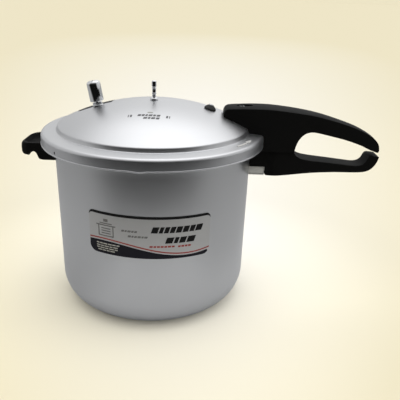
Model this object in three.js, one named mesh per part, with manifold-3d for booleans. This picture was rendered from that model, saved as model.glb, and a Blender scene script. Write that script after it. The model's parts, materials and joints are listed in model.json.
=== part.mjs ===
// Outer-lid pressure canner: a deep spun-aluminium pot, a domed bayonet lid with a lift-off weight
// valve, a pressure indicator and a safety plug, a two-part long handle and a helper handle.
//
// Frame: millimetres, +Z up. The origin is on the pot's axis at the flat base, the long handle points
// along +X, the helper handle along -X, and the label faces -Y.

import * as THREE from 'three';
import { mergeVertices } from 'three/addons/utils/BufferGeometryUtils.js';
import Module from 'manifold-3d';

const wasm = await Module();
wasm.setup();

// ---- Driving dimensions -----------------------------------------------------------------------

const ROUND = 56;          // facets around the pot and the lid
const FINE = 20;           // facets around a fastener
const GAP = 0.3;           // air left between two pieces that touch
const FRONT = -90;         // the direction of the label, in degrees from +X
const INSIDE = 110;        // where pieces that meet the pot start, before its wall trims them

const pot = {
  outerR: 122,             // wall at the top, outside
  draft: 2.3,              // how much narrower the wall is where the base corner starts
  wall: 2.5,
  base: 4.5,
  cornerR: 38,             // base corner, outside
  rimZ: 214,
  rimR: 128.5,             // turned-out rim that carries the gasket
  rimThick: 3.2,
};

const bayonet = {
  count: 6,
  lugR: 133.7,             // reach of the pot's lugs
  lugAngle: 17,
  lipInnerR: 129.5,        // the lid's inward lip, which hooks under the lugs
  lipThick: 2.2,
  gapAngle: 21,            // notches in the lip that let the lugs through
};

const lid = {
  rimR: 137.2,             // skirt, outside
  bottomZ: 207.9,
  shelfZ: 222.2,
  edgeR: 3,                // rounding between shelf and skirt
  wall: 2.5,
  stepR: 119.4,            // foot of the dome's short steep wall
  apexZ: 257,
  domeR: 254.5,            // radius of the spherical dome
  domeEdgeR: 115.6,        // where the dome turns into its shoulder
  shoulderR: 4,
  drainR: 1.5,             // small drain hole in the skirt
  drainAt: -137.3,
};

const label = { from: -31.6, to: 36.7, bottomZ: 100.7, topZ: 151.2, thick: 0.3, lift: 0.35 };

const potBracket = { bottomZ: 169.3, topZ: 179, halfW: 10, stepX: 141, endX: 170, tongueZ: 174 };
const potHandle = {
  bottomZ: 169.7, partingZ: 200.5, screwX: 157, endX: 282.6, halfW: [14, 16, 15, 14, 12.5],
};
const lidHandle = {
  partingZ: 201, screwX: 108, rearScrewX: 160, endX: 283.4, halfW: [15, 19, 19.5, 17.5, 15.5, 13.5],
  recessX: 112.5, recessR: [11.5, 6], recessZ: 248.6, hangHoleX: 120,
};
const lidBracket = { fromX: 123, toX: 171, bottomZ: 222.9, topZ: 225.4, halfW: 10 };
const helper = { endX: -163.4, halfW: 30, dishHalfW: 22, bottomZ: 183.6, topZ: 204.6, screwX: -133 };
const helperBracket = { bottomZ: 188, topZ: 193, halfW: 9, endX: -140 };
const helperFoot = { bottomZ: 185.5, topZ: 197, halfW: 12, endX: -126 };
const screw = { headR: 4.4, headH: 2.4, shankR: 2.1, holeR: 2.4 };
const rivet = { headR: 5, headH: 1.6, shankR: 2.4, spacing: 11, potLength: 12, helperLength: 8.8 };

const vent = { x: -69.3, tilt: -10, hexR: 5.6, threadR: 3.4, boreR: 1.2, topS: 20 };
const weight = { radius: 8.3, shoulderR: 4, bottomS: 6.3, topS: 31, boreR: 4.7, boreTopS: 25 };
const indicator = {
  hexR: 4.9, bushR: 3.2, boreR: 1.75, shaftR: 1.4, neckR: 2.3, collarR: 2.75,
  footZ: 244.8, seatZ: 260.3, topZ: 280.4,
};
const plug = { x: 69, headR: 7.5, headH: 5.2, neckR: 5, coreR: 2.2 };

// ---- Materials ----------------------------------------------------------------------------------

const finish = (color, roughness, metalness) =>
  new THREE.MeshStandardMaterial({ color, roughness, metalness });
const material = {
  spunAluminium: () => finish(0xb9babb, 0.36, 1),
  castAluminium: () => finish(0xc2c2c0, 0.5, 1),
  chrome: () => finish(0xd8dadc, 0.08, 1),
  steel: () => finish(0xa9aaab, 0.3, 1),
  phenolic: () => finish(0x121211, 0.42, 0),
  rubber: () => finish(0x1a1a19, 0.7, 0),
  silicone: () => finish(0x8f8f8a, 0.6, 0),
  foil: () => finish(0xbfc0bf, 0.4, 0.3),
};

// ---- Solids -------------------------------------------------------------------------------------

// Signed volume of an indexed triangle mesh: negative when its faces point inwards.
function signedVolume(position, index) {
  const [a, b, c] = [new THREE.Vector3(), new THREE.Vector3(), new THREE.Vector3()];
  let six = 0;
  for (let i = 0; i < index.length; i += 3) {
    a.fromBufferAttribute(position, index[i]);
    b.fromBufferAttribute(position, index[i + 1]);
    c.fromBufferAttribute(position, index[i + 2]);
    six += a.dot(b.cross(c));
  }
  return six / 6;
}

// A closed three.js geometry becomes a solid that can be joined and cut.
function solid(geometry) {
  const bare = geometry.clone();
  bare.deleteAttribute('normal');
  bare.deleteAttribute('uv');
  const merged = mergeVertices(bare, 1e-4);
  const all = Array.from(merged.index.array);
  let index = [];
  for (let i = 0; i < all.length; i += 3) {
    const [p, q, r] = all.slice(i, i + 3);
    if (p !== q && q !== r && r !== p) index.push(p, q, r);
  }
  if (signedVolume(merged.attributes.position, index) < 0) index = index.reverse();
  const vertProperties = Float32Array.from(merged.attributes.position.array);
  const triVerts = Uint32Array.from(index);
  return new wasm.Manifold(new wasm.Mesh({ numProp: 3, vertProperties, triVerts }));
}

function geometryOf(body) {
  const mesh = body.getMesh();
  const geometry = new THREE.BufferGeometry();
  geometry.setAttribute('position', new THREE.BufferAttribute(Float32Array.from(mesh.vertProperties), 3));
  geometry.setIndex(new THREE.BufferAttribute(Uint32Array.from(mesh.triVerts), 1));
  geometry.computeVertexNormals();
  return geometry;
}

const point = (x, y) => new THREE.Vector2(x, y);
const radians = THREE.MathUtils.degToRad;

// Points on an arc in the profile plane, from one angle to another, in degrees.
function arc(cx, cy, r, from, to, steps) {
  const turn = (i) => radians(from + ((to - from) * i) / steps);
  const at = (i) => point(cx + r * Math.cos(turn(i)), cy + r * Math.sin(turn(i)));
  return Array.from({ length: steps + 1 }, (_, i) => at(i));
}

// A turned solid about +Z. The profile is (radius, height); an open one starts and ends on the axis.
function turned(profile, segments = FINE) {
  const onAxis = profile[0].x === 0;
  const points = onAxis ? profile : [...profile, profile[0].clone()];
  return solid(new THREE.LatheGeometry(points, segments).rotateX(Math.PI / 2));
}

const disc = (r, fromZ, toZ, segments = FINE) =>
  turned([point(0, fromZ), point(r, fromZ), point(r, toZ), point(0, toZ)], segments);
const ring = (innerR, outerR, fromZ, toZ, segments = FINE) =>
  turned([point(innerR, fromZ), point(outerR, fromZ), point(outerR, toZ), point(innerR, toZ)], segments);
const hexagon = (r, fromZ, toZ) => disc(r, fromZ, toZ, 6);

function block(fromX, toX, halfY, fromZ, toZ) {
  const box = new THREE.BoxGeometry(toX - fromX, 2 * halfY, toZ - fromZ);
  return solid(box.translate((fromX + toX) / 2, 0, (fromZ + toZ) / 2));
}

// An outline drawn in plan (x, y) and raised along +Z.
const raised = (outline, fromZ, toZ, curveSegments = 6) =>
  solid(new THREE.ExtrudeGeometry(outline, { depth: toZ - fromZ, bevelEnabled: false, curveSegments })
    .translate(0, 0, fromZ));

// An outline drawn from the side (x, z) and widened along Y, equally to both sides.
const widened = (outline, halfY, curveSegments = 6) =>
  solid(new THREE.ExtrudeGeometry(outline, { depth: 2 * halfY, bevelEnabled: false, curveSegments })
    .translate(0, 0, -halfY).rotateX(Math.PI / 2));

// A wedge of the round, between two directions in degrees from +X.
function wedge(from, to, fromZ, toZ) {
  const outline = new THREE.Shape([point(0, 0), ...arc(0, 0, 200, from, to, 8)]);
  return raised(outline, fromZ, toZ);
}

const moved = (body, x, y, z) => body.translate(x, y, z);
const joined = (bodies) => bodies.reduce((whole, next) => whole.add(next));

// ---- Round profiles -----------------------------------------------------------------------------

const cornerWallR = pot.outerR - pot.draft;
const cornerCentreR = cornerWallR - pot.cornerR;
const wallR = (z) => cornerWallR + (pot.draft * (z - pot.cornerR)) / (pot.rimZ - pot.cornerR);
const domeZ = (r) => lid.apexZ - lid.domeR + Math.sqrt(lid.domeR ** 2 - r ** 2);
const domeTilt = (r) => THREE.MathUtils.radToDeg(Math.asin(r / lid.domeR));

// The pot's outside from the axis up to a height, moved out by a clearance.
function potOutside(topZ, out = 0) {
  const corner = arc(cornerCentreR, pot.cornerR, pot.cornerR + out, -90, 0, 7);
  return [point(0, -out), ...corner, point(wallR(topZ) + out, topZ)];
}

function potShell() {
  const underRimZ = pot.rimZ - pot.rimThick;
  const inside = arc(cornerCentreR, pot.cornerR, pot.cornerR - pot.wall, 0, -90, 7);
  const floor = inside.map((p) => point(p.x, Math.max(p.y, pot.base)));
  const profile = [
    ...potOutside(underRimZ),
    point(pot.rimR, underRimZ),
    point(pot.rimR, pot.rimZ),
    point(wallR(pot.rimZ) - pot.wall, pot.rimZ),
    ...floor,
    point(0, pot.base),
  ];
  return turned(profile, ROUND);
}

// The lid's outside from its apex to the outer edge of the shelf, moved out by a clearance.
function lidOutside(out = 0) {
  const steps = 6;
  const dome = Array.from({ length: steps }, (_, i) => {
    const r = (lid.domeEdgeR * i) / steps;
    return point(r, domeZ(r) + out);
  });
  const edgeTilt = 90 - domeTilt(lid.domeEdgeR);
  const lean = 20;
  const shoulderX = lid.domeEdgeR - lid.shoulderR * Math.cos(radians(edgeTilt));
  const shoulderZ = domeZ(lid.domeEdgeR) - lid.shoulderR * Math.sin(radians(edgeTilt));
  return [
    ...dome,
    ...arc(shoulderX, shoulderZ, lid.shoulderR + out, edgeTilt, lean, 3),
    point(lid.stepR + out, lid.shelfZ + 1.6),
    point(lid.stepR + 1.6 + out, lid.shelfZ + 0.3 + out),
    ...arc(lid.rimR - lid.edgeR, lid.shelfZ - lid.edgeR, lid.edgeR + out, 90, 0, 4),
  ];
}

function lidShell() {
  const innerR = lid.rimR - lid.wall;
  const steps = 6;
  const domeInside = Array.from({ length: steps }, (_, i) => {
    const r = ((lid.domeEdgeR - 2) * (steps - i)) / steps;
    return point(r, domeZ(r) - lid.wall);
  });
  const profile = [
    ...lidOutside(),
    point(lid.rimR, lid.bottomZ),
    point(innerR, lid.bottomZ),
    point(innerR, lid.shelfZ - lid.edgeR - 0.5),
    point(innerR - 1.3, lid.shelfZ - lid.wall),
    point(lid.stepR - 0.4, lid.shelfZ - lid.wall + 0.2),
    point(lid.stepR - lid.wall - 0.4, lid.shelfZ - 0.4),
    ...domeInside,
    point(0, lid.apexZ - lid.wall),
  ];
  return turned(profile, ROUND);
}

// Everything inside the lid's outer surface, with a clearance: it trims what rests on the lid.
const lidEnvelope = () => turned([...lidOutside(GAP), point(lid.rimR + GAP, 190), point(0, 190)], ROUND);
const potEnvelope = () => turned([...potOutside(pot.rimZ, GAP), point(0, pot.rimZ)], ROUND);

// Bayonet features repeat around the rim. Lugs sit halfway between the lip's notches when locked.
const stations = Array.from({ length: bayonet.count }, (_, i) => (360 * i) / bayonet.count);
const around = (width, centre, fromZ, toZ) =>
  joined(stations.map((a) => wedge(centre + a - width / 2, centre + a + width / 2, fromZ, toZ)));

// ---- Placement frames on the dome ---------------------------------------------------------------

// A matrix that stands a piece on the dome at x, leaning by tilt degrees towards +X.
function onDome(x, tilt) {
  const turn = new THREE.Matrix4().makeRotationY(radians(tilt));
  return turn.setPosition(x, 0, domeZ(Math.abs(x)));
}
const placed = (body, matrix) => solid(geometryOf(body).applyMatrix4(matrix));

const ventFrame = onDome(vent.x, vent.tilt);
const plugFrame = onDome(plug.x, domeTilt(plug.x));

// ---- The assembly -------------------------------------------------------------------------------

const object = new THREE.Group();

function add(name, body, finishOf, matrix = null) {
  const mesh = new THREE.Mesh(geometryOf(body), finishOf());
  mesh.name = name;
  if (matrix) mesh.applyMatrix4(matrix);
  object.add(mesh);
}

// A fastener points along +Z with its head at the bottom.
const screwBody = (length) =>
  disc(screw.headR, 0, screw.headH).add(disc(screw.shankR, screw.headH - 0.1, length));
const upsideDown = new THREE.Matrix4().makeRotationX(Math.PI);

// Pot: the vessel, its lugs and the rivet holes behind each bracket.
function rivetBody(direction, length) {
  const head = disc(rivet.headR, 0, rivet.headH);
  const shank = disc(rivet.shankR, rivet.headH - 0.1, length);
  return placed(head.add(shank), new THREE.Matrix4().makeRotationY((direction * Math.PI) / 2));
}
const rivetPlaces = [['left', -rivet.spacing / 2], ['right', rivet.spacing / 2]];
const potRivetZ = (potBracket.bottomZ + potBracket.topZ) / 2;
const helperRivetZ = (helperFoot.bottomZ + helperFoot.topZ) / 2;

function rivetHoles(direction, z) {
  const sideways = new THREE.Matrix4().makeRotationY((direction * Math.PI) / 2);
  const hole = placed(disc(rivet.shankR + GAP, 90, 140), sideways);
  return joined(rivetPlaces.map(([, y]) => moved(hole, 0, y, z)));
}

function potBody() {
  const lugs = ring(pot.rimR - 1, bayonet.lugR, pot.rimZ - 3, pot.rimZ, ROUND)
    .intersect(around(bayonet.lugAngle, 0, 200, 220));
  return potShell().add(lugs).subtract(rivetHoles(1, potRivetZ)).subtract(rivetHoles(-1, helperRivetZ));
}

function labelBody() {
  const inner = label.lift;
  const outer = label.lift + label.thick;
  const [low, high] = [label.bottomZ, label.topZ];
  const shell = turned([
    point(wallR(low) + inner, low), point(wallR(low) + outer, low),
    point(wallR(high) + outer, high), point(wallR(high) + inner, high),
  ], ROUND);
  return shell.intersect(wedge(FRONT + label.from, FRONT + label.to, low - 1, high + 1));
}

add('pot_shell', potBody(), material.spunAluminium);
add('pot_label', labelBody(), material.foil);

for (const [side, y] of rivetPlaces) {
  const innerWall = wallR(potRivetZ) - pot.wall;
  const reach = Math.sqrt(innerWall ** 2 - 11 ** 2) - rivet.headH - GAP;
  const potRivet = moved(rivetBody(1, rivet.potLength), reach, y, potRivetZ);
  add(`pot_rivet_${side}`, potRivet, material.castAluminium);
  const helperRivet = moved(rivetBody(-1, rivet.helperLength), -reach, y, helperRivetZ);
  add(`helper_rivet_${side}`, helperRivet, material.castAluminium);
}

// Long-handle bracket: a bar riveted to the wall, with a thinner tongue inside the handle.
function potBracketBody() {
  const { stepX, endX, halfW, bottomZ, tongueZ, topZ } = potBracket;
  const bar = block(INSIDE, stepX, halfW, bottomZ, topZ);
  const tongue = block(stepX - 1, endX, halfW, tongueZ, topZ);
  const hole = moved(disc(screw.holeR, 160, 190), potHandle.screwX, 0, 0);
  return bar.add(tongue).subtract(potEnvelope()).subtract(hole).subtract(rivetHoles(1, potRivetZ));
}
add('pot_bracket', potBracketBody(), material.castAluminium);

function helperBracketBody() {
  const bar = ({ endX, halfW, bottomZ, topZ }) => block(endX, -INSIDE, halfW, bottomZ, topZ);
  const hole = moved(disc(screw.holeR, 180, 200), helper.screwX, 0, 0);
  return bar(helperBracket).add(bar(helperFoot))
    .subtract(potEnvelope()).subtract(hole).subtract(rivetHoles(-1, helperRivetZ));
}
add('helper_bracket', helperBracketBody(), material.castAluminium);

// A plan outline that tapers along +X, with round ends. Half-widths are spread evenly along it.
function taperedPlan(fromX, toX, halfWidths, endR) {
  const last = halfWidths.length - 1;
  const side = halfWidths.map((w, i) => {
    const inset = i === 0 ? endR : i === last ? -endR : 0;
    return point(fromX + ((toX - fromX) * i) / last + inset, w);
  });
  const mirrored = side.map((p) => point(p.x, -p.y));
  const plan = new THREE.Shape();
  plan.moveTo(mirrored[0].x, mirrored[0].y);
  plan.splineThru(mirrored.slice(1));
  plan.quadraticCurveTo(toX, -halfWidths[last], toX, -halfWidths[last] + endR);
  plan.lineTo(toX, halfWidths[last] - endR);
  plan.quadraticCurveTo(toX, halfWidths[last], side[last].x, side[last].y);
  plan.splineThru(side.slice(0, -1).reverse());
  plan.quadraticCurveTo(fromX, halfWidths[0], fromX, halfWidths[0] - endR);
  plan.lineTo(fromX, -halfWidths[0] + endR);
  plan.quadraticCurveTo(fromX, -halfWidths[0], mirrored[0].x, mirrored[0].y);
  return plan;
}

// Lower half of the long handle: root on the bracket, slim grip, upturned hook at the end.
function potHandleBody() {
  const sideView = new THREE.Shape();
  sideView.moveTo(118, potBracket.topZ + GAP);
  sideView.lineTo(140.5, potBracket.topZ + GAP);
  sideView.quadraticCurveTo(142, potHandle.bottomZ, 146, potHandle.bottomZ);
  sideView.splineThru([point(166.5, 170.8), point(197, 174), point(230, 176), point(258, 176.2)]);
  sideView.quadraticCurveTo(270, 176.8, 275.5, 182);
  sideView.quadraticCurveTo(281, 188.5, 282.6, 196.8);
  sideView.lineTo(271.6, 197.8);
  sideView.quadraticCurveTo(268.6, 194, 266.6, 189.8);
  sideView.quadraticCurveTo(263.5, 184.4, 252, 184.9);
  sideView.splineThru([point(222, 187.6), point(192, 190.4)]);
  sideView.quadraticCurveTo(178, 191.8, 175.5, potHandle.partingZ);
  sideView.lineTo(118, potHandle.partingZ);
  const plan = taperedPlan(116, potHandle.endX, potHandle.halfW, 5);
  const body = widened(sideView, 20).intersect(raised(plan, 160, 210));
  const { stepX, endX, bottomZ, topZ, tongueZ } = potBracket;
  const slotHalfW = potBracket.halfW + GAP;
  const slot = block(INSIDE, endX + GAP, slotHalfW, tongueZ - GAP, topZ + GAP)
    .add(block(INSIDE, stepX + GAP, slotHalfW, bottomZ - 5, topZ + GAP));
  const holeFrom = potHandle.bottomZ - 5;
  const hole = disc(screw.headR + GAP, holeFrom, 172.9).add(disc(screw.holeR, 172, 181));
  return body.subtract(potEnvelope()).subtract(slot).subtract(moved(hole, potHandle.screwX, 0, 0));
}
add('pot_handle', potHandleBody(), material.phenolic);
add('pot_handle_screw', moved(screwBody(8), potHandle.screwX, 0, 170.2), material.steel);

// Upper half of the long handle: it grips the lid's shelf and shoulder and arches over the grip.
function lidHandleSide() {
  const sideView = new THREE.Shape();
  sideView.moveTo(85.2, 241.5);
  sideView.quadraticCurveTo(86, 251.8, 95, 252.6);
  sideView.splineThru([
    point(120, 253.5), point(148, 253.1), point(190, 248.2), point(217, 242.3),
    point(243.5, 234.2), point(260, 227), point(273, 218.8),
  ]);
  sideView.quadraticCurveTo(282, 211.5, lidHandle.endX, 203.4);
  sideView.quadraticCurveTo(283, 201.2, 280, 202);
  sideView.splineThru([
    point(270, 205.6), point(257, 211.6), point(240, 217.4), point(222, 222.2), point(204, 226.4),
  ]);
  sideView.quadraticCurveTo(186, 230.4, 180, 218.5);
  sideView.quadraticCurveTo(175.5, 210, 175, lidHandle.partingZ);
  sideView.lineTo(120, lidHandle.partingZ);
  sideView.lineTo(100, 225);
  return sideView;
}

function ovalRecess() {
  const oval = new THREE.Shape();
  oval.absellipse(lidHandle.recessX, 0, ...lidHandle.recessR, 0, 2 * Math.PI);
  return raised(oval, lidHandle.recessZ, 260, 10);
}

function lidHandleBody() {
  const plan = taperedPlan(84, lidHandle.endX, lidHandle.halfW, 8);
  const body = widened(lidHandleSide(), 24).intersect(raised(plan, 190, 260));
  const slot = block(lidBracket.fromX - 8, lidBracket.toX + GAP, lidBracket.halfW + GAP,
    lidBracket.bottomZ - GAP, lidBracket.topZ + GAP);
  const bossBore = moved(disc(7.3, 225, 243.3), lidHandle.screwX, 0, 0);
  const screwBore = moved(disc(screw.holeR, 240, 252), lidHandle.screwX, 0, 0);
  const rearBore = disc(screw.headR + GAP, 195, 215).add(disc(screw.holeR, 214, 228));
  const hangHole = moved(disc(2, 243, 252), lidHandle.hangHoleX, 0, 0);
  return body.subtract(lidEnvelope()).subtract(slot).subtract(bossBore).subtract(screwBore)
    .subtract(moved(rearBore, lidHandle.rearScrewX, 0, 0)).subtract(ovalRecess()).subtract(hangHole);
}
add('lid_handle', lidHandleBody(), material.phenolic);

function lidBracketBody() {
  const { fromX, toX, bottomZ, topZ, halfW } = lidBracket;
  const strap = block(fromX, toX, halfW, bottomZ, topZ);
  return strap.subtract(moved(disc(screw.holeR, 215, 235), lidHandle.rearScrewX, 0, 0));
}
add('lid_handle_bracket', lidBracketBody(), material.steel);

function lidBossBody() {
  const stud = moved(disc(7, 225, 243), lidHandle.screwX, 0, 0);
  return stud.subtract(lidEnvelope()).subtract(moved(disc(screw.holeR, 237, 250), lidHandle.screwX, 0, 0));
}
add('lid_handle_boss', lidBossBody(), material.castAluminium);
add('lid_handle_screw_front', screwBody(13), material.steel,
  upsideDown.clone().setPosition(lidHandle.screwX, 0, 251.3));
add('lid_handle_screw_rear', moved(screwBody(15), lidHandle.rearScrewX, 0, 212.3), material.steel);

// Helper handle: a short wide grip with a finger scoop under it and a dished top.
function helperBody() {
  const sideView = new THREE.Shape();
  sideView.moveTo(-112, helper.bottomZ);
  sideView.lineTo(-134, helper.bottomZ);
  sideView.quadraticCurveTo(-140, 184, -142, 190);
  sideView.quadraticCurveTo(-144, 195.4, -149, 194.8);
  sideView.quadraticCurveTo(-154, 194, -155.5, 191.4);
  sideView.quadraticCurveTo(helper.endX, 189.5, helper.endX, 195);
  sideView.lineTo(helper.endX, 200.5);
  sideView.quadraticCurveTo(helper.endX, 203.6, helper.endX + 4, helper.topZ);
  sideView.lineTo(-112, helper.topZ);
  const plan = new THREE.Shape();
  plan.moveTo(-112, -helper.halfW);
  plan.lineTo(-142, -helper.halfW);
  plan.bezierCurveTo(-158, -helper.halfW, helper.endX, -16, helper.endX, 0);
  plan.bezierCurveTo(helper.endX, 16, -158, helper.halfW, -142, helper.halfW);
  plan.lineTo(-112, helper.halfW);
  const dish = new THREE.Shape();
  dish.moveTo(-127, -helper.dishHalfW);
  dish.lineTo(-141, -helper.dishHalfW);
  dish.bezierCurveTo(-153, -helper.dishHalfW, -158, -12, -158, 0);
  dish.bezierCurveTo(-158, 12, -153, helper.dishHalfW, -141, helper.dishHalfW);
  dish.lineTo(-127, helper.dishHalfW);
  const body = widened(sideView, 40).intersect(raised(plan, 170, 210)).subtract(raised(dish, 201, 210));
  const pocket = ({ endX, halfW, bottomZ, topZ }) =>
    block(endX - GAP, -INSIDE, halfW + GAP, bottomZ - GAP, topZ + GAP);
  const slot = pocket(helperBracket).add(pocket(helperFoot));
  const bore = disc(screw.headR + GAP, 180, 186.4).add(disc(screw.holeR, 186, 197));
  return body.subtract(potEnvelope()).subtract(slot).subtract(moved(bore, helper.screwX, 0, 0));
}
add('helper_handle', helperBody(), material.phenolic);
add('helper_screw', moved(screwBody(12), helper.screwX, 0, 183.8), material.steel);

// Lid: the domed shell with its notched lip, drilled for the valves.
function lidBody() {
  const lipZ = lid.bottomZ + 0.3;
  const lip = ring(bayonet.lipInnerR, lid.rimR - 1.2, lipZ, lipZ + bayonet.lipThick, ROUND)
    .subtract(around(bayonet.gapAngle, FRONT, 200, 220));
  const drain = placed(disc(lid.drainR, 125, 145, 10), new THREE.Matrix4().makeRotationY(Math.PI / 2));
  const drainHole = moved(drain.rotate(0, 0, lid.drainAt), 0, 0, lid.bottomZ + 4.4);
  return lidShell().add(lip).subtract(drainHole)
    .subtract(placed(disc(vent.threadR + GAP, -12, 12), ventFrame))
    .subtract(placed(disc(plug.neckR + GAP, -12, 12), plugFrame))
    .subtract(disc(indicator.bushR + 0.4, 240, 270));
}
add('lid_shell', lidBody(), material.spunAluminium);

const gasketInnerR = pot.outerR - 1.8;
const gasketTopZ = lid.shelfZ - lid.wall - GAP;
const gasketProfile = [
  point(gasketInnerR, pot.rimZ + GAP), point(pot.rimR - 0.5, pot.rimZ + GAP),
  point(pot.rimR - 0.5, gasketTopZ), point(gasketInnerR + 1, gasketTopZ),
  point(gasketInnerR + 1, pot.rimZ + 3), point(gasketInnerR, pot.rimZ + 2),
];
add('lid_gasket', turned(gasketProfile, ROUND), material.silicone);

// Weight valve. Heights are along the vent's own axis, from the dome's surface.
function ventPipeBody() {
  const outside = [
    point(0, -11), point(vent.threadR, -11), point(vent.threadR, 1.9), point(2.3, 1.9), point(2.3, 8),
    point(4.2, 8.8), point(4.2, 17.5), point(2.2, vent.topS), point(0, vent.topS),
  ];
  return turned(outside).add(hexagon(vent.hexR, 1.8, 4.2)).subtract(disc(vent.boreR, -15, 30, 12));
}
add('vent_pipe', ventPipeBody(), material.steel, ventFrame);
add('vent_washer', ring(vent.threadR + GAP, 5.9, 0.9, 1.5), material.rubber, ventFrame);
const ventNut = hexagon(7, -8, -3.8).subtract(disc(vent.threadR + GAP, -15, 5));
add('vent_nut', ventNut, material.steel, ventFrame);

function weightBody() {
  const { radius, shoulderR, bottomS, topS, boreR, boreTopS } = weight;
  const profile = [
    point(0, boreTopS), point(boreR, boreTopS), point(boreR, bottomS),
    point(radius - 0.8, bottomS), point(radius, bottomS + 0.8),
    ...arc(radius - shoulderR, topS - shoulderR, shoulderR, 0, 90, 4), point(0, topS),
  ];
  return turned(profile, FINE + 8);
}
add('weight_body', weightBody(), material.chrome, ventFrame);
const needle = turned([point(0, 20.4), point(1, 21.4), point(4.3, 22.4), point(4.3, 24.7), point(0, 24.7)]);
add('weight_needle', needle, material.steel, ventFrame);

// Pressure indicator at the centre of the dome.
const { bushR, boreR, shaftR, neckR, collarR, footZ, seatZ, topZ: pinTopZ } = indicator;
const indicatorBore = disc(boreR, 240, 270);
const bush = hexagon(indicator.hexR, lid.apexZ + GAP, seatZ - GAP).add(disc(bushR, 252.1, 258));
add('indicator_bush', bush.subtract(indicatorBore), material.chrome);
const bushNut = hexagon(6.5, 252.2, lid.apexZ - lid.wall - GAP).subtract(disc(bushR + GAP, 240, 270));
add('indicator_nut', bushNut, material.steel);

const collar = (z) => [
  point(neckR, z - 0.9), point(collarR, z - 0.5), point(collarR, z + 0.5), point(neckR, z + 0.9),
];
const pinProfile = [
  point(0, footZ), point(shaftR, footZ), point(shaftR, seatZ), point(neckR, seatZ),
  ...collar(265), ...collar(271.6), point(neckR, 273),
  point(2.85, 273.4), ...arc(1.35, pinTopZ - 1.5, 1.5, 0, 90, 2), point(0, pinTopZ),
];
add('indicator_pin', turned(pinProfile, 16), material.chrome);
add('indicator_seal', ring(1.7, 3, 246.4, 248, 16), material.silicone);
add('indicator_clip', ring(1.7, 3.3, 245.2, 246.1, 16), material.steel);

// Safety plug: a rubber button with a fusible metal core, square to the dome.
const plugProfile = [
  point(plug.coreR + GAP, -6.5), point(plug.neckR + 1.4, -5.5), point(plug.neckR + 1.4, -3.6),
  point(plug.neckR, -3.2), point(plug.neckR, 0.4), point(plug.headR, 0.6),
  point(plug.headR - 0.6, 2.6), point(plug.headR - 3.2, plug.headH),
  point(plug.coreR + GAP, plug.headH),
];
add('safety_plug', turned(plugProfile), material.rubber, plugFrame);
const plugCore = disc(plug.coreR, -6, plug.headH + 0.5).add(disc(3.4, plug.headH + GAP, plug.headH + 1.4));
add('safety_plug_core', plugCore, material.steel, plugFrame);

export default object;
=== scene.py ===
# %% [markdown]
# # A spun-aluminium pressure canner
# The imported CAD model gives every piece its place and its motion. Here each visible piece gets the
# fine surface of the real one: spun aluminium, moulded phenolic, chrome and printed foil. The frame is
# loaded first and never moved. Each new piece rides on one of its bodies.

# %% Load the frame
import json
import math

import bmesh
import bpy
from mathutils import Matrix, Vector

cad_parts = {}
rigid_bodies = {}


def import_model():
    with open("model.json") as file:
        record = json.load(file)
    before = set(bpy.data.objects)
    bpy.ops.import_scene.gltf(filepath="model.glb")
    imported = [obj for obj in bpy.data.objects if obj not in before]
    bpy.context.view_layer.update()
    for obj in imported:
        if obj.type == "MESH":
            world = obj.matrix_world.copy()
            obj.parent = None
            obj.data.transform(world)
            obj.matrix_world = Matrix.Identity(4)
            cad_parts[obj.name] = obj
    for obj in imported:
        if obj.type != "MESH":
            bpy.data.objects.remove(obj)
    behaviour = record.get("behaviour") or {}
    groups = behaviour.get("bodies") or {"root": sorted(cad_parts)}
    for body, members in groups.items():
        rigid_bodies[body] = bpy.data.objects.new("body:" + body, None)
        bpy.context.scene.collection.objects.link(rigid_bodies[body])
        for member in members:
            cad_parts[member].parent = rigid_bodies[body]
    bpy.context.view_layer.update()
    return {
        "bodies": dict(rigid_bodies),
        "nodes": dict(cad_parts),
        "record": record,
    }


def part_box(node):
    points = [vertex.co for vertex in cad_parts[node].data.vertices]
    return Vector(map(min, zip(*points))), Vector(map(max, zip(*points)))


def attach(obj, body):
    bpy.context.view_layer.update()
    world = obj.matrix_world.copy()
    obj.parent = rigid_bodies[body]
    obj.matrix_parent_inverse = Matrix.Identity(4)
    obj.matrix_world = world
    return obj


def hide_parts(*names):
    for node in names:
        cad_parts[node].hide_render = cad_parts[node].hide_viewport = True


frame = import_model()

bodies = sorted(frame["bodies"])
print("bodies:", bodies, "nodes:", len(frame["nodes"]))

# %% [markdown]
# ## Camera and colour
# The camera comes first, because every comparison depends on it. It stands a little above the lid and
# looks down at the pot, with a slight tilt to one side, as a hand-held product shot has. The standard
# view transform keeps black plastic black and a white sweep white.


# %% Camera
def show(name, data):
    """A new object in the scene, for a mesh, a camera or a lamp."""
    thing = bpy.data.objects.new(name, data)
    bpy.context.scene.collection.objects.link(thing)
    return thing


MM = 0.001
CAMERA_AT = Vector((60.6, -650.0, 379.9)) * MM
PITCH = math.radians(21.28)
ROLL = math.radians(1.94)
LENS = 47.56

ahead = Vector((0, math.cos(PITCH), -math.sin(PITCH)))
level_up = Vector((0, math.sin(PITCH), math.cos(PITCH)))
right = Vector((1, 0, 0)) * math.cos(ROLL) + level_up * math.sin(ROLL)
up = level_up * math.cos(ROLL) - Vector((1, 0, 0)) * math.sin(ROLL)
camera = show("camera", bpy.data.cameras.new("camera"))
camera.data.lens = LENS
camera.data.sensor_width = 36
camera.data.clip_start = 0.01
camera.matrix_world = Matrix.Translation(CAMERA_AT) @ Matrix((right, up, -ahead)).transposed().to_4x4()
bpy.context.scene.camera = camera
bpy.context.scene.view_settings.view_transform = "Standard"
print("camera at", tuple(round(v, 3) for v in CAMERA_AT))

# %% [markdown]
# ## Sizes
# The driving sizes of the turned pieces, in millimetres. Radii are from the pot's axis and heights from
# the worktop. Everything else is worked out from these or read from the frame.

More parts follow.
